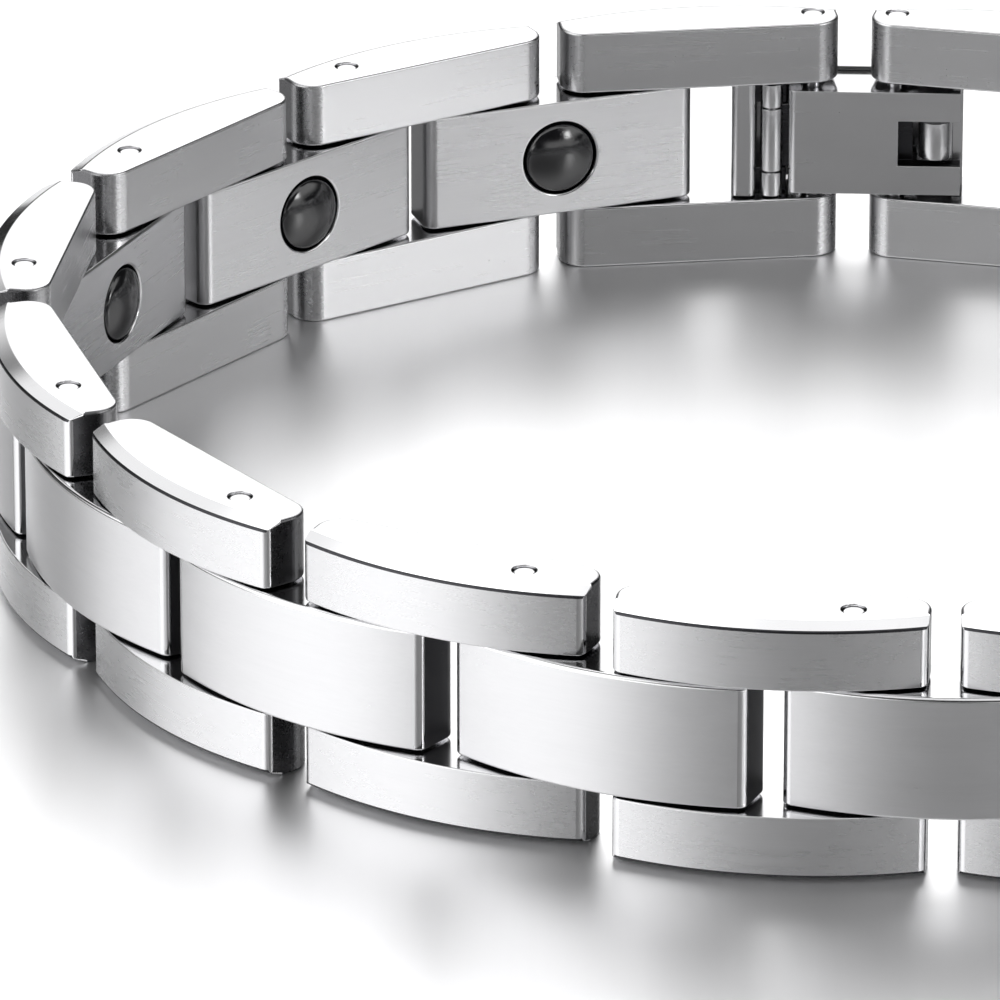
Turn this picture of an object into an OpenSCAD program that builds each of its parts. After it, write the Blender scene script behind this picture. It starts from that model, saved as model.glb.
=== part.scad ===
// Stainless steel link bracelet, standing on its edge as a closed loop.
// Outer links are pairs of rails with a pin between them; centre links lie between the rails and
// bridge two outer links each, like bricks in a wall. A domed magnet sits in each centre link.
// The loop's axis is Z, its lower edge rests at z = 0, and the origin is at the loop's middle.

/* [Band] */
// Width of the band, which is the height of the loop as it stands
band_w = 11; // [10.8:0.1:11.6]
// Height of one rail of an outer link
rail_h = 2.8; // [2.6:0.05:2.8]
// Height of a centre link
centre_h = 5.2; // [5:0.05:5.2]
// Distance from the pins to the flat inner side of a rail
rail_in = 1.5; // [1.35:0.05:1.55]
// Distance from the pins to the crown of a rail's domed outer side
rail_crown = 1.9; // [1.7:0.02:2]
// Distance from the pins to the flat inner side of a centre link
centre_in = 1.45; // [1.25:0.05:1.5]
// Distance from the pins to the crown of a centre link's domed outer side
centre_crown = 1.82; // [1.6:0.02:1.9]

/* [Links] */
// Length of a rail
rail_l = 12.3; // [12.1:0.05:12.45]
// Length of a centre link
centre_l = 12.44; // [12.1:0.02:12.5]
// Distance between the two pins of an outer link
outer_pitch = 6.3; // [6.28:0.01:6.32]
// Distance between the two pins of a centre link
centre_pitch = 7.16; // [7.14:0.01:7.18]
// Radius of the dome along a rail
rail_dome_r = 18; // [16:0.5:20]
// Radius of the dome along a centre link
centre_dome_r = 18.5; // [17:0.5:20]
// Radius of the rounded inner corners of a rail
corner_r = 1.1; // [0.5:0.1:1.2]

/* [Edges] */
// Width of the polished bevel between a rail's flat top and its dome
bevel_w = 0.65; // [0.4:0.05:0.8]
// Drop of that bevel
bevel_h = 0.28; // [0.15:0.01:0.4]
// Small bevel on the other edges
edge = 0.12; // [0.06:0.02:0.16]
// Bevel on the upright edges at a link's ends
end_edge = 0.12; // [0.08:0.02:0.3]

/* [Pins and magnets] */
// Diameter of a pin
pin_d = 0.88; // [0.86:0.02:1.04]
// Gap all round a pin in its hole
pin_gap = 0.06; // [0.04:0.01:0.08]
// How far a loose pin's ends lie below the faces
pin_recess = 0.08; // [0.04:0.02:0.2]
// Diameter of a magnet
magnet_d = 3.15; // [2.8:0.05:3.3]
// Height of a magnet's dome above its link
magnet_dome = 0.45; // [0.3:0.05:0.6]
// Depth of a magnet in its seat
magnet_depth = 1; // [0.8:0.1:1.2]
// Gap all round a magnet in its seat
magnet_gap = 0.1; // [0.05:0.01:0.12]

/* [Clasp] */
// Distance between the two pins that the clasp joins
clasp_pitch = 3.7; // [3.65:0.01:3.75]
// Distance from each of those pins to the near end of its outer link
clasp_pin_end = 1.05; // [1:0.01:1.1]
// Height of the clasp's inner plate
plate_h = 4.8; // [4.6:0.1:4.9]
// Thickness of the inner plate
plate_t = 0.8; // [0.7:0.05:0.8]
// Length of the slot in the inner plate, open at its end
slot_l = 2.74; // [2.6:0.02:2.8]
// Height of the slot
slot_h = 2.1; // [2:0.05:2.2]
// Crown of the lever's domed outer side, measured from the pins
lever_crown = 2; // [1.96:0.02:2.1]
// Radius of the lever's dome
lever_dome_r = 20; // [19:0.5:24]
// Diameter of the hinge barrel
barrel_d = 0.98; // [0.96:0.01:1]
// Diameter of the hinge pin
hinge_d = 0.56; // [0.52:0.01:0.58]

/* [Hidden] */
$fn = 96;
EPS = 0.01;
LINKS = 16;
SIDES = 2 * LINKS;
CLASP_SIDE = 17;

// The loop as it lies: headings of the seen links in degrees, a row for each outer link and the
// centre link, or clasp, that follows it.
// Columns: outer link, centre link
LAY = [
    [179.5, 177],
    [173.5, 155.5],
    [154, 142],
    [126.5, 119.5],
    [107, 94.5],
    [82, 65],
    [51.5, 44.5],
    [31, 20],
    [7.5, -2],
    [-12, -22],
];
SEEN = 2 * len(LAY);
// The rest of the loop turns by itself, evenly but for a sway that lets it close on itself
turn_left = LAY[len(LAY) - 1][1] + 360 - LAY[0][0];
rest_sides = SIDES - SEEN;
CLOSING_BEND = 13.7;
WIDEST_SWAY = 20;
SWAY_STEPS = 24;

// Places of the clasp's parts: x along the chain from the middle between its two pins, y outward
hinge_at = [-3.6, -1.16];
running_gap = 0.1;

// Inner plate
plate_from = -2.86;
plate_to = 4.7;
plate_in = -1.7;
plate_round = 0.35;
block_out = 0.85;
web_in = -0.85;
web_out = -0.37;
catch_wall = 0.45;
catch_out = 0.1;
slot_wall = 0.25;

// Lever
lever_from = -5.35;
lever_to = 4.8;
shell_in = 0.95;
tail_l = 1.05;
tail_in = -1.65;
tail_round = 0.3;
end_wall = 0.45;
ear_h = 1.05;
ear_in = -0.86;
tang_w = 1.5;
tang_h = 1.7;
tang_in = -1.5;

mid_z = band_w / 2;
pin_r = pin_d / 2;
hole_r = pin_r + pin_gap;
rail_gap = (band_w - 2 * rail_h - centre_h) / 2;
clasp_pin_at = rail_l / 2 - clasp_pin_end;
catch_at = clasp_pitch / 2;

STEEL = "silver";
BRIGHT = "gainsboro";
DARK = [0.16, 0.16, 0.17];

// Length of one side of the loop, from pin to pin
function side_length(k) =
    k == CLASP_SIDE ? clasp_pitch :
    abs(k - CLASP_SIDE) == 1 ? outer_pitch / 2 + clasp_pin_at :
    k % 2 == 0 ? outer_pitch : centre_pitch;

// Heading of one side; the last two sides are left to the closing triangle
function rest_turn(j, sway) =
    turn_left * j / (rest_sides + 1) - sway * sin(180 * j / (rest_sides + 1));
function side_heading(k, sway) =
    k < SEEN ? LAY[floor(k / 2)][k % 2] : LAY[len(LAY) - 1][1] - rest_turn(k - SEEN + 1, sway);
function unit(a) = [cos(a), sin(a)];

// Pins before the closing triangle, walked side by side from the origin
function walk(sway) = [
    for (k = 0, p = [0, 0]; k <= SIDES - 2;
        p = p + side_length(k) * unit(side_heading(k, sway)), k = k + 1) p
];

// The closing triangle: its two sides are the last two of the loop, and they bend by CLOSING_BEND.
// More sway leaves a wider gap for it, so halving the range finds the sway that fits.
side_a = side_length(SIDES - 2);
side_b = side_length(SIDES - 1);
closing_gap = sqrt(pow(side_a, 2) + pow(side_b, 2) + 2 * side_a * side_b * cos(CLOSING_BEND));
function closing_sway(low, high, steps) =
    let (middle = (low + high) / 2)
    steps == 0 ? middle :
    norm(walk(middle)[SIDES - 2]) < closing_gap ? closing_sway(middle, high, steps - 1) :
    closing_sway(low, middle, steps - 1);

open_pins = walk(closing_sway(0, WIDEST_SWAY, SWAY_STEPS));
gap_from = open_pins[SIDES - 2];
gap_v = open_pins[0] - gap_from;
gap_l = norm(gap_v);
corner_along = (pow(gap_l, 2) + pow(side_a, 2) - pow(side_b, 2)) / (2 * gap_l);
corner_out = sqrt(pow(side_a, 2) - pow(corner_along, 2));
last_pin = gap_from + (gap_v * corner_along + [-gap_v[1], gap_v[0]] * corner_out) / gap_l;
raw_pins = concat(open_pins, [last_pin, open_pins[0]]);

function chord(k) = raw_pins[k + 1] - raw_pins[k];
function heading(k) = atan2(chord(k)[1], chord(k)[0]);

// Middle of a link's own length, which the clasp's neighbours carry off the middle of their pins
function link_shift(k) =
    k == CLASP_SIDE - 1 ? outer_pitch / 2 - side_length(k) / 2 :
    k == CLASP_SIDE + 1 ? side_length(k) / 2 - outer_pitch / 2 : 0;
function raw_middle(k) = (raw_pins[k] + raw_pins[k + 1]) / 2 + link_shift(k) * unit(heading(k));

// The loop's box, from points along the domes of the outer links and of the lever, and its middle
function dome_u(crown, r, s) = crown - r + sqrt(pow(r, 2) - pow(s, 2));
function dome_point(k, crown, r, s) =
    raw_middle(k) + s * unit(heading(k)) + dome_u(crown, r, s) * unit(heading(k) + 90);
rim = concat(
    [for (k = [0:2:SIDES - 1]) for (s = [-5.9:0.5:5.9]) dome_point(k, rail_crown, rail_dome_r, s)],
    [for (s = [-4.5:0.5:4.5]) dome_point(CLASP_SIDE, lever_crown, lever_dome_r, s)]
);
rim_x = [for (p = rim) p[0]];
rim_y = [for (p = rim) p[1]];
loop_middle = [min(rim_x) + max(rim_x), min(rim_y) + max(rim_y)] / 2;

function two_digits(n) = n < 10 ? str("0", n) : str(n);
function outer_name(i) = str("outer_link_", two_digits(i));
function centre_name(i) = str("centre_link_", two_digits(i));
function magnet_name(i) = str("magnet_", two_digits(i));
function outer_side(i) = 2 * (i - 1);
function centre_side(i) = 2 * i - 1 < CLASP_SIDE ? 2 * i - 1 : 2 * i + 1;

// Puts a link's own frame on its side of the loop: x along the chain, y outward, z up
module on_side(k) {
    translate(concat(raw_middle(k) - loop_middle, [0])) rotate([0, 0, heading(k)]) children();
}

// What a rounded corner takes off: a square less a quarter circle, in the corner's own directions
module corner_waste(at, dir, r) {
    difference() {
        translate(at - dir * EPS) corner_square(dir, r + EPS);
        translate(at + dir * r) circle(r);
    }
}

// A square on the side of the origin that dir points to
module corner_square(dir, size) {
    translate([dir[0] < 0 ? -size : 0, dir[1] < 0 ? -size : 0]) square(size);
}

// Plan of a link, open at its outer side, where the dome cuts it
module link_plan(length, inner, crown, dome_r, r) {
    half = length / 2;
    end_u = dome_u(crown, dome_r, half) - end_edge;
    rise = crown + 1 - end_u;
    difference() {
        polygon([
            [-half, -inner],
            [half, -inner],
            [half, end_u],
            [half - rise, end_u + rise],
            [rise - half, end_u + rise],
            [-half, end_u],
        ]);
        corner_waste([-half, -inner], [1, 1], r);
        corner_waste([half, -inner], [-1, 1], r);
    }
}

// Round body whose rim is the dome, with its upper and lower bevels
module dome_disc(crown, dome_r, height, low_w, low_h, top_w, top_h) {
    translate([0, crown - dome_r, 0]) rotate_extrude() polygon([
        [0, 0],
        [dome_r - low_w, 0],
        [dome_r, low_h],
        [dome_r, height - top_h],
        [dome_r - top_w, height],
        [0, height],
    ]);
}

// Bar along the link whose inner edges carry the small bevel
module inner_edges(length, inner, crown, height) {
    translate([-length / 2 - 1, 0, 0]) rotate([90, 0, 90]) linear_extrude(length + 2) polygon([
        [-inner + edge, 0],
        [crown + 1, 0],
        [crown + 1, height],
        [-inner + edge, height],
        [-inner, height - edge],
        [-inner, edge],
    ]);
}

// Bar across the link whose end edges carry the small bevel
module end_edges(length, inner, crown, height) {
    half = length / 2;
    translate([0, crown + 1, 0]) rotate([90, 0, 0]) linear_extrude(inner + crown + 2) polygon([
        [-half + edge, 0],
        [half - edge, 0],
        [half, edge],
        [half, height - edge],
        [half - edge, height],
        [-half + edge, height],
        [-half, height - edge],
        [-half, edge],
    ]);
}

// Round bar that stands along the loop's axis
module upright(r, from_z, to_z) {
    translate([0, 0, from_z]) cylinder(r = r, h = to_z - from_z);
}

// One rail, its polished bevel upward and its foot at z = 0
module rail() {
    intersection() {
        linear_extrude(rail_h) link_plan(rail_l, rail_in, rail_crown, rail_dome_r, corner_r);
        dome_disc(rail_crown, rail_dome_r, rail_h, edge / 2, edge / 2, bevel_w, bevel_h);
        inner_edges(rail_l, rail_in, rail_crown, rail_h);
        end_edges(rail_l, rail_in, rail_crown, rail_h);
    }
}

// Where along an outer link its loose pin stands, and its fixed pin
function loose_pin_at(k) =
    k == CLASP_SIDE - 1 ? clasp_pin_at : k == CLASP_SIDE + 1 ? -clasp_pin_at : -outer_pitch / 2;
function fixed_pin_at(k) = k == CLASP_SIDE - 1 ? -outer_pitch / 2 : outer_pitch / 2;

// Outer link: two rails joined by the fixed pin, drilled through for the loose pin
module outer_link(i) {
    k = outer_side(i);
    color(STEEL) on_side(k) difference() {
        union() {
            translate([0, 0, band_w - rail_h]) rail();
            translate([0, 0, rail_h]) mirror([0, 0, 1]) rail();
            translate([fixed_pin_at(k), 0, 0]) upright(pin_r, rail_h / 2, band_w - rail_h / 2);
        }
        translate([loose_pin_at(k), 0, 0]) upright(hole_r, -1, band_w + 1);
    }
}

// Centre link: a domed block bored for two pins, with a seat for the magnet in its inner side
module centre_link(i) {
    color(STEEL) on_side(centre_side(i)) translate([0, 0, mid_z - centre_h / 2]) difference() {
        intersection() {
            linear_extrude(centre_h)
                link_plan(centre_l, centre_in, centre_crown, centre_dome_r, corner_r / 2);
            dome_disc(centre_crown, centre_dome_r, centre_h, edge, edge, edge, edge);
            inner_edges(centre_l, centre_in, centre_crown, centre_h);
            end_edges(centre_l, centre_in, centre_crown, centre_h);
        }
        for (x = [-centre_pitch / 2, centre_pitch / 2])
            translate([x, 0, 0]) upright(hole_r, -1, centre_h + 1);
        translate([0, 0, centre_h / 2]) magnet_seat();
    }
}

// Round pocket for the magnet, opened towards the wrist
module magnet_seat() {
    translate([0, magnet_depth + magnet_gap - centre_in, 0]) rotate([90, 0, 0])
        cylinder(d = magnet_d + 2 * magnet_gap, h = magnet_depth + magnet_gap + 1);
}

// Magnet: a short round bar with a domed face towards the wrist
module magnet(i) {
    magnet_r = magnet_d / 2;
    ball_r = (pow(magnet_r, 2) + pow(magnet_dome, 2)) / (2 * magnet_dome);
    color(DARK) on_side(centre_side(i))
        translate([0, -centre_in, mid_z]) rotate([90, 0, 0]) intersection() {
            translate([0, 0, -magnet_depth]) cylinder(r = magnet_r, h = magnet_depth + magnet_dome);
            translate([0, 0, magnet_dome - ball_r]) sphere(ball_r);
        }
}

// A loose pin through both rails
module loose_pin() {
    upright(pin_r, pin_recess, band_w - pin_recess);
}

// The loose pins of the plain outer links, which join each to the centre link before it
module link_pins() {
    color(BRIGHT) for (i = [1:LINKS])
        if (abs(outer_side(i) - CLASP_SIDE) > 1)
            on_side(outer_side(i)) translate([loose_pin_at(outer_side(i)), 0, 0]) loose_pin();
}

// The pin that holds the clasp's inner plate in its outer link
module clasp_pin() {
    color(BRIGHT) on_side(CLASP_SIDE) translate([-catch_at, 0, 0]) loose_pin();
}

// The pin that the clasp catches, in the outer link across the opening
module catch_pin() {
    color(BRIGHT) on_side(CLASP_SIDE) translate([catch_at, 0, 0]) loose_pin();
}

// Block of the clasp, centred on the band's height
module slab(from, to, inner, outer, height) {
    translate([from, inner, mid_z - height / 2]) cube([to - from, outer - inner, height]);
}

// Round bar of the clasp, centred on the band's height
module bar(at, r, height) {
    translate(concat(at, [0])) upright(r, mid_z - height / 2, mid_z + height / 2);
}

// Inner plate of the clasp: solid block from its pin to the hooked seat, hinge barrel and forked end
module clasp_base() {
    barrel_h = centre_h - 2 * ear_h - 2 * running_gap;
    plate_out = plate_in + plate_t;
    seat_l = hole_r + catch_wall;
    color(STEEL) on_side(CLASP_SIDE) difference() {
        union() {
            difference() {
                slab(plate_from, plate_to, plate_in, plate_out, plate_h);
                translate([0, 0, mid_z - plate_h / 2 - 1]) linear_extrude(plate_h + 2)
                    corner_waste([plate_from, plate_in], [1, 1], plate_round);
            }
            slab(plate_from, catch_at - seat_l + EPS, plate_out - EPS, block_out, plate_h);
            slab(catch_at - seat_l, catch_at + seat_l, plate_out - EPS, catch_out, plate_h);
            slab(hinge_at[0], plate_from + EPS, web_in, web_out, barrel_h);
            bar(hinge_at, barrel_d / 2, barrel_h);
        }
        bar([-catch_at, 0], hole_r, band_w);
        bar([catch_at, 0], hole_r, band_w);
        slab(catch_at - hole_r, catch_at + hole_r, 0, catch_out + 1, plate_h + 2);
        slab(plate_to - slot_l, plate_to + 1, plate_in - 1, plate_out, slot_h);
        slab(catch_at + hole_r + slot_wall, plate_to + 1, plate_in, block_out, slot_h);
        bar(hinge_at, hinge_d / 2 + pin_gap / 2, band_w);
    }
}

// Domed cover of the lever
module lever_cover() {
    lever_l = lever_to - lever_from;
    translate([lever_from + lever_l / 2, 0, mid_z - centre_h / 2]) intersection() {
        linear_extrude(centre_h) link_plan(lever_l, -shell_in, lever_crown, lever_dome_r, edge);
        dome_disc(lever_crown, lever_dome_r, centre_h, edge, edge, edge, edge);
        end_edges(lever_l, -shell_in, lever_crown, centre_h);
    }
}

// Solid tail at the lever's hinged end, rounded towards the wrist
module lever_tail() {
    translate([0, 0, mid_z - centre_h / 2]) linear_extrude(centre_h) difference() {
        translate([lever_from, tail_in]) square([tail_l, shell_in - tail_in + EPS]);
        corner_waste([lever_from, tail_in], [1, 1], tail_round);
        corner_waste([lever_from + tail_l, tail_in], [-1, 1], tail_round);
    }
}

// One of the lever's two ears, its foot at z = 0
module lever_ear() {
    ear_from = lever_from + tail_l - EPS;
    ear_to = plate_from - running_gap;
    translate(concat(hinge_at, [0])) cylinder(d = barrel_d, h = ear_h);
    translate([ear_from, ear_in, 0]) cube([ear_to - ear_from, shell_in - ear_in + EPS, ear_h]);
}

// Lever of the clasp: a domed cover with a tail, two ears on the hinge pin, and a tang for the slot
module clasp_lever() {
    tang_to = lever_to - end_wall;
    tang_middle = [tang_to - tang_w / 2, tang_in + tang_w / 2];
    end_wall_in = plate_in + plate_t + running_gap;
    color(STEEL) on_side(CLASP_SIDE) difference() {
        union() {
            lever_cover();
            lever_tail();
            slab(tang_to, lever_to, end_wall_in, shell_in + EPS, centre_h);
            for (z = [mid_z - centre_h / 2, mid_z + centre_h / 2 - ear_h])
                translate([0, 0, z]) lever_ear();
            slab(tang_to - tang_w, tang_to, tang_middle[1], shell_in + EPS, tang_h);
            bar(tang_middle, tang_w / 2, tang_h);
        }
        bar(hinge_at, hinge_d / 2 + pin_gap, band_w);
    }
}

// The lever's axle
module hinge_pin() {
    color(BRIGHT) on_side(CLASP_SIDE) bar(hinge_at, hinge_d / 2, centre_h - 2 * pin_recess);
}

for (i = [1:LINKS])
    outer_link(i);
for (i = [1:LINKS - 1])
    centre_link(i);
for (i = [1:LINKS - 1])
    magnet(i);
link_pins();
clasp_pin();
catch_pin();
clasp_base();
clasp_lever();
hinge_pin();
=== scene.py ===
"""Looks of a stainless steel link bracelet that stands on its edge as a closed loop.

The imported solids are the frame. Each kind of link, magnet and pin is shaped once, and a Geometry Nodes tree
sets it in its places along the loop. Size fields are millimetres; everything in Blender is metres.
"""

import logging
import math
from collections.abc import Callable, Iterable, Sequence
from dataclasses import dataclass, field, replace
from enum import Enum

import bmesh
import bpy
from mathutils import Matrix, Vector
from mathutils.geometry import delaunay_2d_cdt


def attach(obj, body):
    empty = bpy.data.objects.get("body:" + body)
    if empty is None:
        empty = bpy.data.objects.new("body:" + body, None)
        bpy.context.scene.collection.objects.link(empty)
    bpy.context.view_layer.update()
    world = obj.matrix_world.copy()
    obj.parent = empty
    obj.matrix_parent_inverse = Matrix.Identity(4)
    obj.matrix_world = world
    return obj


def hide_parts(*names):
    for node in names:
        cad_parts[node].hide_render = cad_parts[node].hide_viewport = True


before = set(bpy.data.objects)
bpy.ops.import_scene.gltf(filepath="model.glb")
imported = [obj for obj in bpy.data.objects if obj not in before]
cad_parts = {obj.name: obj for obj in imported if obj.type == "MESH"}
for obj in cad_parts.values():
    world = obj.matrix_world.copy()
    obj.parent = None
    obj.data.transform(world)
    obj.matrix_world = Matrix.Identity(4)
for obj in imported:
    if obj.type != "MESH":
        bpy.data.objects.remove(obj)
log = logging.getLogger("bracelet")

MM = 0.001
BAND = "band"
LEVER = "lever"
# How polished a face is: brushed satin, polished, and the mark for painted shade, a near black colour on
# ends, hollows and edges where shade falls
SATIN = 0.0
POLISHED = 1.0
PAINTED_SHADE = -1.0
# Steps of a link's curves: inner corners, slight bends and rounded lips; and the rings across a bevel
CORNER_STEPS = 12
BEND_STEPS = 3
LIP_STEPS = 4
BEVEL_RINGS = (0.25, 0.5, 0.75)
# A filled face keeps the triangles inside its outline; points closer than this many millimetres are one
FILL_INSIDE = 1
FILL_NEAR = 1e-5

Point = tuple[float, float, float]
Flat = tuple[float, float]
Colour = tuple[float, float, float, float]
# Where a piece stands on the loop: its point, its heading in degrees and which kind it is
Spot = tuple[Flat, float, int]
# Point of a turned profile: its radius, its height, and its normal's parts outward and up
Turned = tuple[float, float, float, float]


def mix(a: float, b: float, share: float) -> float:
    """Value between a and b, share of the way to b."""
    return a + (b - a) * share


def fractions(steps: int) -> list[float]:
    """Values from 0 to 1 in even steps, both ends included."""
    return [i / steps for i in range(steps + 1)]


def unit(x: float, y: float) -> Flat:
    """Direction of a flat vector, one long."""
    size = math.hypot(x, y)
    return x / size, y / size


def quarter(steps: int) -> list[Flat]:
    """Sines and cosines over a quarter turn in even steps, both ends included."""
    return [(math.sin(t * math.pi / 2), math.cos(t * math.pi / 2)) for t in fractions(steps)]


def whole_turn(steps: int) -> list[Flat]:
    """Cosines and sines round a circle in even steps."""
    return [(math.cos(math.tau * i / steps), math.sin(math.tau * i / steps)) for i in range(steps)]


def from_above(point: Point) -> Flat:
    """Place of a point as seen from above."""
    return point[0], point[1]


def from_front(point: Point) -> Flat:
    """Place of a point as seen along y."""
    return point[0], point[2]


# Layout of the loop


@dataclass(frozen=True)
class Place:
    """Where a link lies on the loop: its middle, and the heading of its length in degrees."""

    x: float
    y: float
    heading: float

    def at(self, along: float, outward: float = 0.0) -> Flat:
        """Point of the link's own frame on the plan of the loop.

        Args:
            along: distance from the middle along the link.
            outward: distance outward from the line of its pins.

        Returns:
            The point's x and y.
        """
        c, s = math.cos(math.radians(self.heading)), math.sin(math.radians(self.heading))
        return self.x + along * c - outward * s, self.y + along * s + outward * c

    def spot(self, kind: int = 0) -> Spot:
        """The place as a spot for one kind of piece."""
        return (self.x, self.y), self.heading, kind


@dataclass(frozen=True)
class LoopLayout:
    """The closed chain as it stands: lengths between pins, and the headings of the links that show."""

    outer_pitch: float = 6.3
    centre_pitch: float = 7.16
    clasp_pitch: float = 3.7
    clasp_pin_at: float = 5.1
    outer_links: int = 16
    clasp_side: int = 17
    closing_bend: float = 13.7
    widest_sway: float = 20.0
    halvings: int = 24
    rim_half: float = 5.9
    rim_crown: float = 1.9
    rim_r: float = 18.0
    cover_half: float = 4.5
    cover_crown: float = 2.0
    cover_r: float = 20.0
    rim_step: float = 0.5
    # Outer link and the centre link or clasp after it, from the front round the left to the back
    seen: tuple[float, ...] = (
        179.5, 177, 173.5, 155.5, 154, 142, 126.5, 119.5, 107, 94.5,
        82, 65, 51.5, 44.5, 31, 20, 7.5, -2, -12, -22,
    )

    @property
    def sides(self) -> int:
        """Number of sides of the loop, outer links and what joins them."""
        return 2 * self.outer_links

    def by_clasp(self, side: int) -> bool:
        """Whether a side is an outer link next to the clasp."""
        return abs(side - self.clasp_side) == 1

    def side_length(self, side: int) -> float:
        """Length of one side from pin to pin.

        Args:
            side: number of the side.

        Returns:
            The length.
        """
        if side == self.clasp_side:
            return self.clasp_pitch
        if self.by_clasp(side):
            return self.outer_pitch / 2 + self.clasp_pin_at
        return self.centre_pitch if side % 2 else self.outer_pitch

    def heading(self, side: int, sway: float) -> float:
        """Heading of one side, where the hidden stretch turns evenly but for a sway.

        Args:
            side: number of the side.
            sway: degrees by which the middle of the hidden stretch lags behind an even turn.

        Returns:
            The heading in degrees.
        """
        if side < len(self.seen):
            return self.seen[side]
        rest = self.sides - len(self.seen)
        share = (side - len(self.seen) + 1) / (rest + 1)
        left = self.seen[-1] + 360 - self.seen[0]
        return self.seen[-1] - left * share + sway * math.sin(math.pi * share)

    def walk(self, sway: float) -> list[Flat]:
        """Pins of the loop up to the closing triangle, walked side by side.

        Args:
            sway: sway of the hidden stretch in degrees.

        Returns:
            The places of the pins.
        """
        pins = [(0.0, 0.0)]
        for side in range(self.sides - 2):
            x, y = pins[-1]
            turn = math.radians(self.heading(side, sway))
            step = self.side_length(side)
            pins.append((x + step * math.cos(turn), y + step * math.sin(turn)))
        return pins

    def pins(self) -> list[Flat]:
        """Pins of the closed loop, with the sway that lets the last two sides close it.

        Returns:
            The places of the pins, the first one again at the end.
        """
        a, b = self.side_length(self.sides - 2), self.side_length(self.sides - 1)
        wanted = math.sqrt(a * a + b * b + 2 * a * b * math.cos(math.radians(self.closing_bend)))
        low, high = 0.0, self.widest_sway
        for _ in range(self.halvings):
            middle = (low + high) / 2
            if math.hypot(*self.walk(middle)[-1]) < wanted:
                low = middle
            else:
                high = middle
        pins = self.walk((low + high) / 2)
        x, y = pins[-1]
        gap = math.hypot(x, y)
        along = (gap * gap + a * a - b * b) / (2 * gap)
        out = math.sqrt(a * a - along * along)
        corner = (x + (-x * along + y * out) / gap, y + (-y * along - x * out) / gap)
        return [*pins, corner, pins[0]]

    def places(self) -> list[Place]:
        """Places of all sides, with the middle of the loop's outer box at the origin.

        Returns:
            One place for each side.
        """
        pins = self.pins()
        raw = []
        for side in range(self.sides):
            (ax, ay), (bx, by) = pins[side], pins[side + 1]
            turn = math.atan2(by - ay, bx - ax)
            shift = 0.0
            if self.by_clasp(side):
                shift = (side - self.clasp_side) * (self.side_length(side) - self.outer_pitch) / 2
            x, y = (ax + bx) / 2 + shift * math.cos(turn), (ay + by) / 2 + shift * math.sin(turn)
            raw.append(Place(x, y, math.degrees(turn)))
        rim = self._arc(raw[self.clasp_side], self.cover_half, self.cover_crown, self.cover_r)
        for link in raw[::2]:
            rim += self._arc(link, self.rim_half, self.rim_crown, self.rim_r)
        mid_x, mid_y = ((min(p[i] for p in rim) + max(p[i] for p in rim)) / 2 for i in (0, 1))
        return [Place(p.x - mid_x, p.y - mid_y, p.heading) for p in raw]

    def _arc(self, place: Place, half: float, crown: float, radius: float) -> list[Flat]:
        """Points along the dome of a link.

        Args:
            place: where the link lies.
            half: half the length of its dome.
            crown: how far the dome's middle stands out from the line of the pins.
            radius: the dome's radius.

        Returns:
            The points on the plan of the loop.
        """
        steps = round(2 * half / self.rim_step)
        along = [self.rim_step * i - half for i in range(steps + 1)]
        return [place.at(s, crown - radius + math.sqrt(radius * radius - s * s)) for s in along]

    def outer(self) -> list[tuple[int, Place]]:
        """Sides and places of the outer links."""
        return [(s, p) for s, p in enumerate(self.places()) if s % 2 == 0]

    def centre(self) -> list[Place]:
        """Places of the centre links."""
        return [p for s, p in enumerate(self.places()) if s % 2 and s != self.clasp_side]

    def loose_pin_at(self, side: int) -> float:
        """Where along an outer link its loose pin stands.

        Args:
            side: number of the link's side.

        Returns:
            The distance from the link's middle.
        """
        if self.by_clasp(side):
            return (self.clasp_side - side) * self.clasp_pin_at
        return -self.outer_pitch / 2


# Shapes


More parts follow.
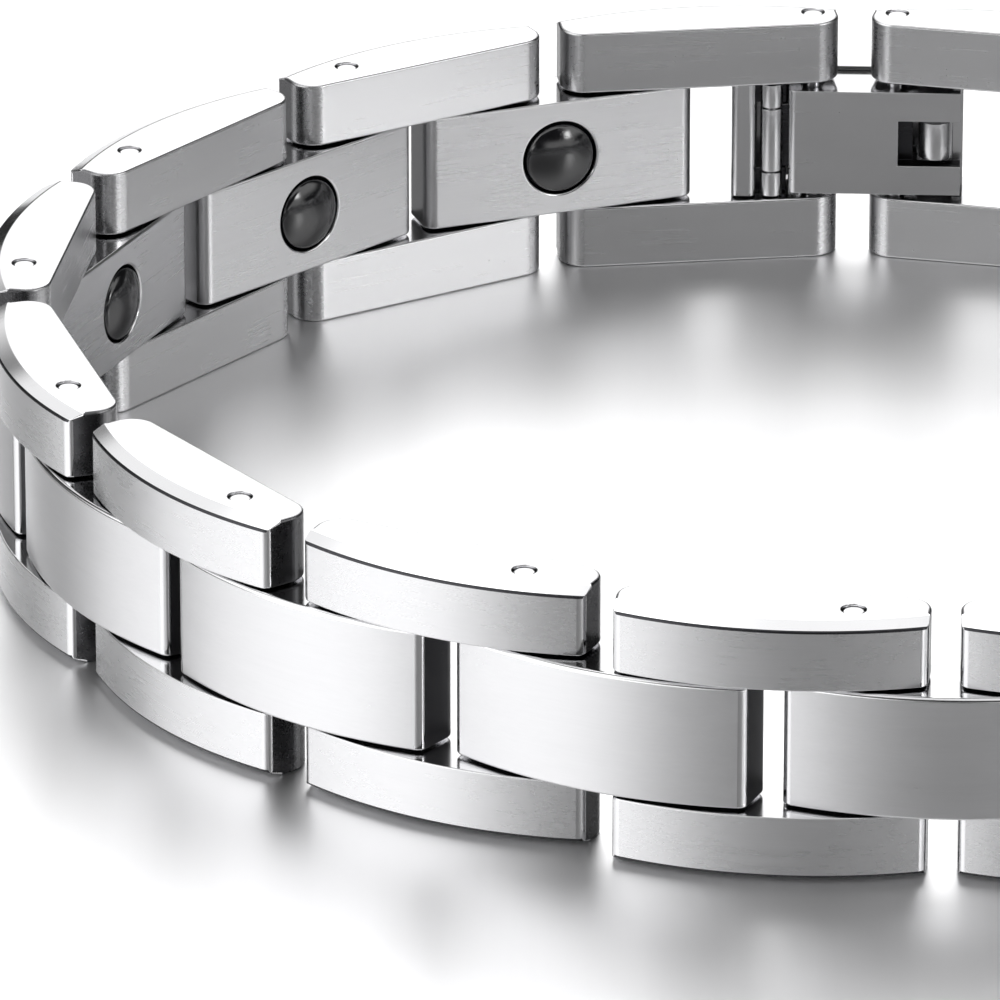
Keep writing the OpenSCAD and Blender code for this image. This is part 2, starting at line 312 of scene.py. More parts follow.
class Shell:
    """Collects the corners, normals and faces of a closed piece of metal, in millimetres."""

    def __init__(self) -> None:
        """Starts empty."""
        self.points: list[Point] = []
        self.normals: list[Point] = []
        self.faces: list[tuple[int, ...]] = []
        self.polish: list[float] = []

    def ring(self, points: Iterable[Point], normals: Iterable[Point]) -> list[int]:
        """Adds points with their normals.

        Args:
            points: the points.
            normals: a normal for each of them, of any length.

        Returns:
            The points' numbers.
        """
        first = len(self.points)
        self.points.extend(points)
        self.normals.extend(normals)
        return list(range(first, len(self.points)))

    def skin(
        self,
        low: Sequence[int],
        high: Sequence[int],
        polish: Sequence[float],
        skip: frozenset[int] = frozenset(),
    ) -> None:
        """Joins two closed rings with faces that look away from the side on which they turn left.

        Args:
            low: numbers of the first ring.
            high: numbers of the second ring, as many.
            polish: how polished each face is.
            skip: segments that stay open.
        """
        for i in range(len(low)):
            if i in skip:
                continue
            j = (i + 1) % len(low)
            self.faces.append((low[i], low[j], high[j], high[i]))
            self.polish.append(polish[i])

    def fill(
        self,
        rings: Sequence[Sequence[int]],
        plane: Callable[[Point], Flat],
        flip: bool,
        polish: float,
        folds: Sequence[tuple[int, int]] = (),
    ) -> None:
        """Fills a face that has an outer ring and holes.

        Args:
            rings: numbers of the outer ring and of each hole's ring.
            plane: turns a point into its place on the face's plane.
            flip: whether the face looks the other way.
            polish: how polished the face is.
            folds: edges inside the face that its triangles keep.
        """
        inside = sorted({n for fold in folds for n in fold} - {n for ring in rings for n in ring})
        numbers = [n for ring in rings for n in ring] + inside
        edges, first = [], 0
        for ring in rings:
            edges += [(first + i, first + (i + 1) % len(ring)) for i in range(len(ring))]
            first += len(ring)
        edges += [(numbers.index(a), numbers.index(b)) for a, b in folds]
        spots = [Vector(plane(self.points[n])) for n in numbers]
        holes = [set(ring) for ring in rings[1:]]
        _, _, faces, origin, _, _ = delaunay_2d_cdt(spots, edges, [], FILL_INSIDE, FILL_NEAR)
        for face in faces:
            corners = [numbers[origin[v][0]] for v in face]
            if any(hole.issuperset(corners) for hole in holes):
                continue
            self.faces.append(tuple(reversed(corners)) if flip else tuple(corners))
            self.polish.append(polish)

    def revolve(self, profile: Sequence[Turned], steps: int, polish: float) -> None:
        """Turns a profile round the z axis and closes both its ends on the axis.

        Args:
            profile: the profile's points, from the lower end to the upper.
            steps: number of faces round the axis.
            polish: how polished the piece is.
        """
        around, rings = whole_turn(steps), []
        for radius, height, out, up in profile:
            points = [(radius * c, radius * s, height) for c, s in around]
            rings.append(self.ring(points, [(out * c, out * s, up) for c, s in around]))
        for low, high in zip(rings, rings[1:]):
            self.skin(low, high, [polish] * steps)
        for ring, up in ((rings[0], False), (rings[-1], True)):
            height = self.points[ring[0]][2]
            (hub,) = self.ring([(0.0, 0.0, height)], [(0.0, 0.0, 1.0 if up else -1.0)])
            for i in range(steps):
                j = (i + 1) % steps
                self.faces.append((hub, ring[i], ring[j]) if up else (hub, ring[j], ring[i]))
                self.polish.append(polish)

    def add(
        self, other: "Shell", move: Callable[[Point], Point], turn: Callable[[Point], Point], flip: bool
    ) -> None:
        """Adds another shell.

        Args:
            other: the shell to add.
            move: takes its points to their places.
            turn: takes its normals along.
            flip: whether the move mirrors, so that faces are turned round.
        """
        first = len(self.points)
        self.points.extend(move(p) for p in other.points)
        self.normals.extend(turn(n) for n in other.normals)
        for face in other.faces:
            corners = tuple(first + n for n in face)
            self.faces.append(tuple(reversed(corners)) if flip else corners)
        self.polish.extend(other.polish)

    def to_object(self, name: str) -> bpy.types.Object:
        """Makes a Blender object of the shell, with the attributes that the finishes read.

        Args:
            name: name of the object and its mesh.

        Returns:
            The object, which isn't in the scene yet.
        """
        mesh = bpy.data.meshes.new(name)
        mesh.from_pydata([tuple(v * MM for v in p) for p in self.points], [], self.faces)
        mesh.polygons.foreach_set("use_smooth", [True] * len(mesh.polygons))
        mesh.normals_split_custom_set_from_vertices([Vector(n).normalized() for n in self.normals])
        flat = [v * MM for p in self.points for v in p]
        mesh.attributes.new("link_place", "FLOAT_VECTOR", "POINT").data.foreach_set("vector", flat)
        mesh.attributes.new("polish", "FLOAT", "FACE").data.foreach_set("value", self.polish)
        return bpy.data.objects.new(name, mesh)


@dataclass(frozen=True)
class Knot:
    """Point of a link's outline: its place, its outward direction, and whether it is on the dome."""

    x: float
    y: float
    nx: float
    ny: float
    dome: float = 0.0

    def mirrored(self) -> "Knot":
        """The same point on the other half of the link."""
        return Knot(-self.x, self.y, -self.nx, self.ny, self.dome)


def rounded(
    start: Flat, corner: Flat, end: Flat, first: Flat, last: Flat, steps: int
) -> list[tuple[Flat, Flat]]:
    """Rounds a corner with an even curve.

    Args:
        start: point where the curve leaves the first line.
        corner: the corner itself.
        end: point where the curve meets the second line.
        first: normal of the first line.
        last: normal of the second line.
        steps: number of steps of the curve.

    Returns:
        Points and normals along the curve.
    """
    out = []
    for t in fractions(steps):
        a, b, c = (1 - t) ** 2, 2 * t * (1 - t), t * t
        spot = (a * start[0] + b * corner[0] + c * end[0], a * start[1] + b * corner[1] + c * end[1])
        out.append((spot, unit(mix(first[0], last[0], t), mix(first[1], last[1], t))))
    return out


@dataclass(frozen=True)
class Level:
    """One level of a link: how far its flat sides and its dome lie in, their heights and their normals.

    Where dome_polish is given, it is the polish of the dome's faces above the level.
    """

    cut: float
    drop: float
    flat_z: float
    dome_z: float
    flat_n: Flat
    dome_n: Flat
    dome_polish: float | None = None


@dataclass(frozen=True)
class Bore:
    """Round hole along z through a link."""

    x: float
    radius: float
    mouth: float = 0.035
    steps: int = 36
    polish: float = 0.4


@dataclass(frozen=True)
class Seat:
    """Round pocket for a magnet in a link's inner side."""

    radius: float = 1.675
    depth: float = 1.1
    mouth: float = 0.11
    mouth_steps: int = 3
    low_edge: float = 0.05
    steps: int = 64


@dataclass(frozen=True)
class LinkBody:
    """Bar with a domed outer side: a rail, or a centre link. Lengths are millimetres.

    A slant at 45 degrees takes end_edge off the edge between the dome and each end. Where it would be
    narrower than slant_room, it is least_slant wide. Its own edges are softened by soft_reach times soft at
    most, or by soft_share of its width where that is less. Where a bore reaches the bevel, the top face takes
    in a stretch of the bevel that is notch_room wider on each side, and the bevel's upper lines stop
    notch_clear before the bore's mouth.
    """

    length: float
    height: float
    inner: float
    crown: float
    dome_r: float
    corner_r: float
    bevel_w: float
    bevel_h: float
    low_edge: float
    edge: float = 0.12
    end_edge: float = 0.12
    soft: float = 0.08
    slant_room: float = 0.03
    least_slant: float = 0.02
    soft_reach: float = 1.6
    soft_share: float = 0.4
    notch_room: float = 0.06
    notch_clear: float = 0.01
    foot_polish: float = 0.8
    # Painted shade on the end faces, most of the way to near black
    end_polish: float = 0.85 * PAINTED_SHADE
    slant_polish: float = 0.9
    crease_polish: float = 0.6
    edge_polish: float = 0.5
    inner_polish: float = 0.1
    dome_steps: int = 44
    bores: tuple[Bore, ...] = ()
    seat: Seat | None = None

    def dome_y(self, x: float, drop: float = 0.0) -> float:
        """How far the dome stands out from the line of the pins."""
        return self.crown - self.dome_r + math.sqrt((self.dome_r - drop) ** 2 - x * x)

    def outline(self, cut: float, drop: float) -> tuple[list[Knot], list[float]]:
        """Outline of the link at one level, turning left as seen from above.

        Args:
            cut: how far the flat sides lie in.
            drop: how far the dome lies in.

        Returns:
            The knots, and the polish of the face after each of them.
        """
        end_x = self.length / 2 - cut
        reach = self.length / 2 + self.dome_y(self.length / 2) - self.end_edge - math.sqrt(2) * cut
        radius, rise = self.dome_r - drop, reach - self.crown + self.dome_r
        meet_x = (rise - math.sqrt(2 * radius * radius - rise * rise)) / 2
        if meet_x < end_x - self.slant_room:
            low, meet = (end_x, reach - end_x), (meet_x, reach - meet_x)
        else:
            meet = (end_x - self.least_slant, self.dome_y(end_x - self.least_slant, drop))
            low = (end_x, meet[1] - self.least_slant)
        trim = min(self.soft * self.soft_reach, self.soft_share * math.dist(low, meet))
        arc_r, hub = self.corner_r - cut, (self.length / 2 - self.corner_r, self.corner_r - self.inner)
        side = [Knot(hub[0] + arc_r * s, hub[1] - arc_r * c, s, -c) for s, c in quarter(CORNER_STEPS)]
        # The inner corner's faces go over from the inner side into the painted shade of the end
        polish = [mix(self.inner_polish, self.end_polish, t) for t in fractions(CORNER_STEPS)]
        slant = math.sqrt(0.5)
        up = (low[0] - slant * trim, low[1] + slant * trim)
        bend = rounded((low[0], low[1] - trim), low, up, (1, 0), (slant, slant), BEND_STEPS)
        side += [Knot(*spot, *normal) for spot, normal in bend]
        polish += [self.slant_polish] * len(bend)
        first_x = meet[0] - trim
        down = (meet[0] + slant * trim, meet[1] - slant * trim)
        dome_from = (first_x, self.dome_y(first_x, drop))
        dome_n = unit(first_x, math.sqrt(radius * radius - first_x * first_x))
        crease = rounded(down, meet, dome_from, (slant, slant), dome_n, BEND_STEPS)
        side += [Knot(*spot, *normal, 1.0) for spot, normal in crease]
        polish += [self.crease_polish] * BEND_STEPS
        widest = math.asin(first_x / radius)
        dome = []
        for t in fractions(self.dome_steps)[1:-1]:
            turn = widest * (1 - 2 * t)
            spot = (radius * math.sin(turn), self.crown - self.dome_r + radius * math.cos(turn))
            dome.append(Knot(*spot, math.sin(turn), math.cos(turn), 1.0))
        knots = side + dome + [k.mirrored() for k in reversed(side)]
        return knots, polish + [SATIN] * (len(dome) + 1) + polish[::-1] + [self.inner_polish]

    def levels(self) -> list[Level]:
        """Levels from the foot to the top: a rounded lower edge, the wall, the bevel and the upper edge.

        Returns:
            The levels, the lowest first.
        """
        out = []
        flat, dome = self.edge, self.low_edge
        for s, c in quarter(LIP_STEPS):
            inset, rise = 1 - s, 1 - c
            out.append(Level(flat * inset, dome * inset, flat * rise, dome * rise, (s, -c), (s, -c)))
        top, size = self.height, math.hypot(self.bevel_w, self.bevel_h)
        run, climb = self.bevel_w / size, self.bevel_h / size
        slope, foot = (climb, run), top - self.bevel_h
        start = (self.soft * run, foot + self.soft * climb)
        end = (self.bevel_w - self.soft * run, top - self.soft * climb)
        bevel = rounded((0, foot - self.soft), (0, foot), start, (1, 0), slope, BEND_STEPS)
        bevel += [((mix(start[0], end[0], t), mix(start[1], end[1], t)), slope) for t in BEVEL_RINGS]
        for j, ((drop, z), normal) in enumerate(bevel):
            flat_z = mix(foot - self.soft, top - self.edge, j / len(bevel))
            polish = POLISHED if j >= BEND_STEPS else self.edge_polish
            out.append(Level(0, drop, flat_z, z, (1, 0), normal, polish))
        brim = rounded(end, (self.bevel_w, top), (self.bevel_w + self.soft, top), slope, (0, 1), LIP_STEPS)
        for (s, c), ((drop, z), normal) in zip(quarter(LIP_STEPS), brim):
            cut, flat_z = self.edge * (1 - c), top - self.edge * (1 - s)
            out.append(Level(cut, drop, flat_z, z, (c, s), normal, POLISHED))
        return out

    def top_at(self, x: float, y: float) -> tuple[float, Point]:
        """Top face, or the bevel beyond it, over one point of the plan.

        Args:
            x: the point's place along the link.
            y: its distance outward from the line of the pins.

        Returns:
            The height and the normal there.
        """
        out, hub = unit(x, y - self.crown + self.dome_r), self.crown - self.dome_r
        beyond = self.bevel_w - self.dome_r + math.hypot(x, y - hub)
        if beyond <= 0:
            return self.height, (0.0, 0.0, 1.0)
        size = math.hypot(self.bevel_w, self.bevel_h)
        climb, run = self.bevel_h / size, self.bevel_w / size
        return self.height - beyond * self.bevel_h / self.bevel_w, (out[0] * climb, out[1] * climb, run)

    def shell(self) -> Shell:
        """Builds the link with its foot at z = 0, its length along x and its dome towards y.

        Returns:
            The closed shell.
        """
        shell, rings = Shell(), []
        for level in self.levels():
            knots, polish = self.outline(level.cut, level.drop)
            points, normals = [], []
            for k in knots:
                out = mix(level.flat_n[0], level.dome_n[0], k.dome)
                points.append((k.x, k.y, mix(level.flat_z, level.dome_z, k.dome)))
                normals.append((k.nx * out, k.ny * out, mix(level.flat_n[1], level.dome_n[1], k.dome)))
            if level.dome_polish is not None:
                polish = [level.dome_polish if k.dome else p for k, p in zip(knots, polish)]
            rings.append((shell.ring(points, normals), knots, polish))
        closing = len(rings[0][0]) - 1
        notch = self._notch(rings[-1][1])
        first = len(rings) - len(BEVEL_RINGS) - LIP_STEPS - 1
        for i, ((low, _, polish), (high, *_)) in enumerate(zip(rings, rings[1:])):
            bare = {closing} if self.seat and i == LIP_STEPS else set()
            if notch and i >= first:
                bare |= set(range(*notch))
            shell.skin(low, high, polish, frozenset(bare))
        holes = [self._bore(shell, bore) for bore in self.bores]
        shell.fill([rings[0][0], *[h[0] for h in holes]], from_above, True, self.foot_polish)
        border, folds = rings[-1][0], []
        if notch:
            border, folds = self._notched(shell, [ring for ring, *_ in rings[first:]], notch)
        shell.fill([border, *[h[1] for h in holes]], from_above, False, POLISHED, folds)
        if self.seat:
            low, high = rings[LIP_STEPS][0], rings[LIP_STEPS + 1][0]
            self._seat(shell, [low[closing], low[0], high[0], high[closing]])
        return shell

    def _notch(self, knots: Sequence[Knot]) -> tuple[int, int] | None:
        """Stretch of the dome over a bore that reaches the bevel.

        Args:
            knots: knots of the top's outline.

        Returns:
            The first and the last knot of the stretch, or None where no bore reaches the bevel.
        """
        for bore in self.bores:
            reach = bore.radius + bore.mouth
            if self.dome_y(abs(bore.x) + reach, self.bevel_w + self.soft) < reach:
                wide = reach + self.notch_room
                near = [i for i, k in enumerate(knots) if k.dome and abs(k.x - bore.x) < wide]
                return near[0] - 1, near[-1] + 1
        return None

    def _notched(
        self, shell: Shell, columns: Sequence[Sequence[int]], notch: tuple[int, int]
    ) -> tuple[list[int], list[tuple[int, int]]]:
        """Border of the top face where it takes in the bevel beside the first bore.

        Args:
            shell: the shell that holds the points.
            columns: rings from the bevel's lowest inner one to the top.
            notch: first and last knot of the stretch that is taken in.

        Returns:
            The border's numbers, and the edges along the bevel's upper lines outside the bore.
        """
        bore = self.bores[0]
        first, last = notch
        low, top = columns[0], columns[-1]
        down = [ring[first] for ring in reversed(columns[1:-1])]
        up = [ring[last] for ring in columns[1:-1]]
        border = [*top[: first + 1], *down, *low[first : last + 1], *up, *top[last:]]
        folds = []
        clear = bore.radius + bore.mouth + self.notch_clear
        for ring in (columns[-LIP_STEPS - 1], top):
            for a, b in zip(ring[first:last], ring[first + 1 : last + 1]):
                spots = (shell.points[a], shell.points[b])
                if all(math.hypot(p[0] - bore.x, p[1]) > clear for p in spots):
                    folds.append((a, b))
        return border, folds

    def _bore(self, shell: Shell, bore: Bore) -> tuple[list[int], list[int]]:
        """Adds the wall of a hole with softened mouths.

        Args:
            shell: the shell that takes the wall.
            bore: the hole.

        Returns:
            The rings of its lower and its upper mouth.
        """
        around, mouth = whole_turn(bore.steps), bore.radius + bore.mouth
        wall = [(-c, -s, 0.0) for c, s in around]
        tops = [self.top_at(bore.x + mouth * c, mouth * s) for c, s in around]
        rings = []
        for radius, heights, normals in (
            (mouth, [0.0] * bore.steps, [(0.0, 0.0, -1.0)] * bore.steps),
            (bore.radius, [bore.mouth] * bore.steps, wall),
            (bore.radius, [z - bore.mouth for z, _ in tops], wall),
            (mouth, [z for z, _ in tops], [normal for _, normal in tops]),
        ):
            spots = [(bore.x + radius * c, radius * s, z) for (c, s), z in zip(around, heights)]
            rings.append(shell.ring(spots, normals))
        for low, high in zip(rings, rings[1:]):
            shell.skin(high, low, [bore.polish] * bore.steps)
        return rings[0], rings[-1]

    def _seat(self, shell: Shell, border: list[int]) -> None:
        """Adds the magnet's pocket, with a bright softened mouth, in the inner side; its wall and floor past
        the mouth get painted shade.

        Args:
            shell: the shell that takes the pocket.
            border: numbers of the inner side's four corners.
        """
        seat, mid = self.seat, self.height / 2
        around, profile = whole_turn(seat.steps), []
        for s, c in quarter(seat.mouth_steps):
            profile.append((seat.radius + seat.mouth * (1 - s), seat.mouth * (1 - c), -s, -c))
        profile.append((seat.radius, seat.depth - seat.low_edge, -1.0, 0.0))
        profile.append((seat.radius - seat.low_edge, seat.depth, 0.0, -1.0))
        rings = []
        for radius, depth, out, face in profile:
            points = [(radius * c, depth - self.inner, mid + radius * s) for c, s in around]
            rings.append(shell.ring(points, [(out * c, face, out * s) for c, s in around]))
        for i, (outer, inner) in enumerate(zip(rings, rings[1:])):
            # Painted shade on the pocket's wall and floor, past its polished mouth
            shell.skin(outer, inner, [POLISHED if i < seat.mouth_steps else PAINTED_SHADE] * seat.steps)
        shell.fill([border, rings[0]], from_front, False, self.inner_polish)
        shell.fill([rings[-1]], from_front, False, PAINTED_SHADE)


# Shader and geometry nodes


class Signal:
    """Output socket of a node, which can be used in arithmetic."""

    def __init__(self, bench: "NodeBench", socket: bpy.types.NodeSocket | None) -> None:
        """Keeps the socket and the bench that adds its nodes."""
        self.bench = bench
        self.socket = socket

    def __add__(self, other: "Signal | float") -> "Signal":
        """Sum."""
        return self.bench.maths("ADD", self, other)

    def __radd__(self, other: float) -> "Signal":
        """Sum with a number first."""
        return self.bench.maths("ADD", other, self)

    def __sub__(self, other: "Signal | float") -> "Signal":
        """Difference."""
        return self.bench.maths("SUBTRACT", self, other)

    def __rsub__(self, other: float) -> "Signal":
        """Difference with a number first."""
        return self.bench.maths("SUBTRACT", other, self)

    def __mul__(self, other: "Signal | float") -> "Signal":
        """Product."""
        return self.bench.maths("MULTIPLY", self, other)

    def __rmul__(self, other: float) -> "Signal":
        """Product with a number first."""
        return self.bench.maths("MULTIPLY", other, self)

    def __neg__(self) -> "Signal":
        """Negative."""
        return self.bench.maths("MULTIPLY", self, -1.0)

    def clamped(self) -> "Signal":
        """The value held between 0 and 1."""
        return self.bench.make("ShaderNodeClamp", {}, {0: self})

    def eased(self, low: float, high: float, start: float = 0.0, end: float = 1.0) -> "Signal":
        """Smooth step from start at low to end at high."""
        settings = {"interpolation_type": "SMOOTHSTEP"}
        return self.bench.make("ShaderNodeMapRange", settings, {0: self, 1: low, 2: high, 3: start, 4: end})


class NodeBench:
    """Adds nodes to one tree, for a material, the world or a Geometry Nodes group."""

    def __init__(self, tree: bpy.types.NodeTree) -> None:
        """Keeps the tree."""
        self.tree = tree

    def make(
        self, kind: str, settings: dict[str, object], inputs: dict[int | str, object], output: int | str = 0
    ) -> Signal:
        """Adds a node.

        Args:
            kind: the node's type.
            settings: its own settings.
            inputs: values or signals by socket name or number.
            output: the output that is wanted.

        Returns:
            The wanted output as a signal.
        """
        node = self.tree.nodes.new(kind)
        for key, value in settings.items():
            setattr(node, key, value)
        for key, value in inputs.items():
            if isinstance(value, Signal):
                self.tree.links.new(value.socket, node.inputs[key])
            else:
                node.inputs[key].default_value = value
        return Signal(self, node.outputs[output] if len(node.outputs) else None)

    def maths(self, operation: str, *values: Signal | float) -> Signal:
        """Adds one Math node."""
        return self.make("ShaderNodeMath", {"operation": operation}, dict(enumerate(values)))

    def vector_maths(
        self, operation: str, a: Signal | Sequence[float], b: Signal | Sequence[float], output: str = "Vector"
    ) -> Signal:
        """Adds one Vector Math node."""
        return self.make("ShaderNodeVectorMath", {"operation": operation}, {0: a, 1: b}, output)

    def attribute(self, name: str, output: str) -> Signal:
        """A mesh attribute in a material."""
        return self.make("ShaderNodeAttribute", {"attribute_name": name}, {}, output)

    def link_spot(self, shift: Signal, drift: Point) -> Signal:
        """Place in a link's own frame, moved by a shift of its own so that no two links look alike.

        Args:
            shift: the link's shift, from 0 to 1.
            drift: how far a shift of 1 moves the place, in metres.

        Returns:
            The moved place.
        """
        offset = self.make("ShaderNodeCombineXYZ", {}, {i: shift * step for i, step in enumerate(drift)})
        return self.vector_maths("ADD", self.attribute("link_place", "Vector"), offset)

    def noise(self, place: Signal, scale: float, detail: float, roughness: float = 0.5) -> Signal:
        """Noise around one half at a place."""
        inputs = {"Vector": place, "Scale": scale, "Detail": detail, "Roughness": roughness}
        return self.make("ShaderNodeTexNoise", {"noise_dimensions": "3D"}, inputs, "Fac")

    def streaks(self, place: Signal, scales: Point, detail: float, roughness: float = 0.5) -> Signal:
        """Noise that is drawn out along an axis, by its scale along each of them."""
        return self.noise(self.vector_maths("MULTIPLY", place, scales), 1.0, detail, roughness)

    def blend_colour(
        self, share: Signal | float, a: Sequence[float] | Signal, b: Sequence[float] | Signal
    ) -> Signal:
        """Mixes two colours."""
        return self.make("ShaderNodeMix", {"data_type": "RGBA"}, {0: share, 6: a, 7: b}, 2)

    def surface(self, inputs: dict[int | str, object]) -> None:
        """Ends a material in a Principled shader with the given inputs."""
        shader = self.make("ShaderNodeBsdfPrincipled", {}, inputs)
        self.make("ShaderNodeOutputMaterial", {}, {"Surface": shader})


def new_material(name: str) -> tuple[bpy.types.Material, NodeBench]:
    """Makes an empty material.

    Args:
        name: its name.

    Returns:
        The material and the bench for its nodes.
    """
    material = bpy.data.materials.new(name)
    material.use_nodes = True
    material.node_tree.nodes.clear()
    return material, NodeBench(material.node_tree)


@dataclass(frozen=True)
class SteelFinish:
    """Stainless steel, satin where it is brushed along the links and bright where it is polished; faces
    marked for painted shade turn near black.

    The grain's scales are per metre, along the link, outward and up.
    """

    name: str
    light: Colour = (0.80, 0.80, 0.81, 1.0)
    dark: Colour = (0.70, 0.70, 0.71, 1.0)
    # Painted shade: the near black colour of faces in gaps and hollows between parts
    shaded: Colour = (0.06, 0.06, 0.065, 1.0)
    satin: float = 0.28
    bright: float = 0.10
    grain: float = 0.03
    clouds: float = 0.04
    anisotropy: float = 0.35
    drift: Point = (0.31, 0.17, 0.23)
    fine_scales: Point = (160.0, 9000.0, 9000.0)
    broad_scales: Point = (120.0, 1600.0, 1600.0)
    cloud_scale: float = 420.0
    hairline_scales: Point = (6000.0, 700.0, 900.0)
    hairline_from: float = 0.60
    hairline_to: float = 0.72
    bright_change: float = 0.03
    grain_tone: float = 0.35
    link_tone: float = 0.3

    def material(self) -> bpy.types.Material:
        """Builds the material: brushed grain, faint clouds and hairlines, polished faces, and painted shade
        that turns marked faces near black.

        Returns:
            The material.
        """
        material, bench = new_material(self.name)
        shift = bench.attribute("grain_shift", "Fac")
        mark = bench.attribute("polish", "Fac")
        polish, painted_shade = mark.clamped(), (-mark).clamped()
        brushed = (1.0 - polish) * (1.0 - painted_shade)
        spot = bench.link_spot(shift, self.drift)
        fine = bench.streaks(spot, self.fine_scales, detail=1.0, roughness=0.6) - 0.5
        broad = bench.streaks(spot, self.broad_scales, detail=1.0) - 0.5
        cloud = bench.noise(spot, self.cloud_scale, detail=1.0) - 0.5
        across = bench.streaks(spot, self.hairline_scales, detail=1.0, roughness=0.4)
        hairline = across.eased(self.hairline_from, self.hairline_to)
        satin = self.satin + fine * (2.0 * self.grain) + broad * self.grain + cloud * self.clouds
        bright = self.bright + hairline * self.bright_change + cloud * self.bright_change
        roughness = (satin * (1.0 - polish) + bright * polish).clamped()
        grain = fine * self.grain_tone * brushed + broad * self.grain_tone
        tone = (0.5 + grain + (shift - 0.5) * self.link_tone).clamped()
        steel = bench.blend_colour(tone, self.dark, self.light)
        bench.surface(
            {
                # Painted shade: faces with a negative mark blend to the near black colour
                "Base Color": bench.blend_colour(painted_shade, steel, self.shaded),
                "Metallic": 1.0,
                "Roughness": roughness,
                "Anisotropic": self.anisotropy,
            }
        )
        return material


@dataclass(frozen=True)
class MagnetFinish:
    """Glossy black ferrite. The scales of its clouds and pores are per metre."""

    name: str = "magnet_black"
    light: Colour = (0.012, 0.012, 0.014, 1.0)
    dark: Colour = (0.004, 0.004, 0.005, 1.0)
    roughness: float = 0.12
    index: float = 1.9
    drift: Point = (0.2, 0.1, 0.3)
    cloud_scale: float = 900.0
    cloud_change: float = 0.08
    pore_scale: float = 9000.0
    pore_from: float = 0.62
    pore_to: float = 0.74
    pore_change: float = 0.05
    pore_strength: float = 0.15
    pore_depth: float = 0.00001

    def material(self) -> bpy.types.Material:
        """Builds the material: deep black with a soft gloss and faint pores.

        Returns:
            The material.
        """
        material, bench = new_material(self.name)
        spot = bench.link_spot(bench.attribute("grain_shift", "Fac"), self.drift)
        cloud = bench.noise(spot, self.cloud_scale, detail=3.0)
        pores = bench.noise(spot, self.pore_scale, detail=1.0).eased(self.pore_from, self.pore_to)
        dents = {"Strength": self.pore_strength, "Distance": self.pore_depth, "Height": pores}
        bench.surface(
            {
                "Base Color": bench.blend_colour(cloud, self.dark, self.light),
                "Roughness": self.roughness + (cloud - 0.5) * self.cloud_change + pores * self.pore_change,
                "IOR": self.index,
                "Normal": bench.make("ShaderNodeBump", {"invert": True}, dents, "Normal"),
            }
        )
        return material


@dataclass(frozen=True)
class FloorFinish:
    """Pale glossy surface with soft streaks, whose scales are per metre."""

    name: str = "pale_floor"
    light: Colour = (0.93, 0.93, 0.935, 1.0)
    dark: Colour = (0.88, 0.88, 0.885, 1.0)
    metallic: float = 0.95
    roughness: float = 0.4
    change: float = 0.07
    scales: Point = (420.0, 14.0, 1.0)

    def material(self) -> bpy.types.Material:
        """Builds the material.

        Returns:
            The material.
        """
        material, bench = new_material(self.name)
        place = bench.make("ShaderNodeTexCoord", {}, {}, "Object")
        streak = bench.streaks(place, self.scales, detail=3.0, roughness=0.6)
        bench.surface(
            {
                "Base Color": bench.blend_colour(streak, self.dark, self.light),
                "Metallic": self.metallic,
                "Roughness": self.roughness + (streak - 0.5) * self.change,
            }
        )
        return material


def settled(carrier: bpy.types.Object, name: str) -> bpy.types.Object:
    """Turns an object with live modifiers into a plain piece at the origin, and removes it.

    Args:
        carrier: the object, which is in the scene.
        name: name of the piece and its mesh.

    Returns:
        The piece, in the scene.
    """
    graph = bpy.context.evaluated_depsgraph_get()
    mesh = bpy.data.meshes.new_from_object(
        carrier.evaluated_get(graph), preserve_all_data_layers=True, depsgraph=graph
    )
    carrier.modifiers.clear()
    bpy.data.objects.remove(carrier)
    mesh.name = name
    piece = bpy.data.objects.new(name, mesh)
    bpy.context.scene.collection.objects.link(piece)
    return piece


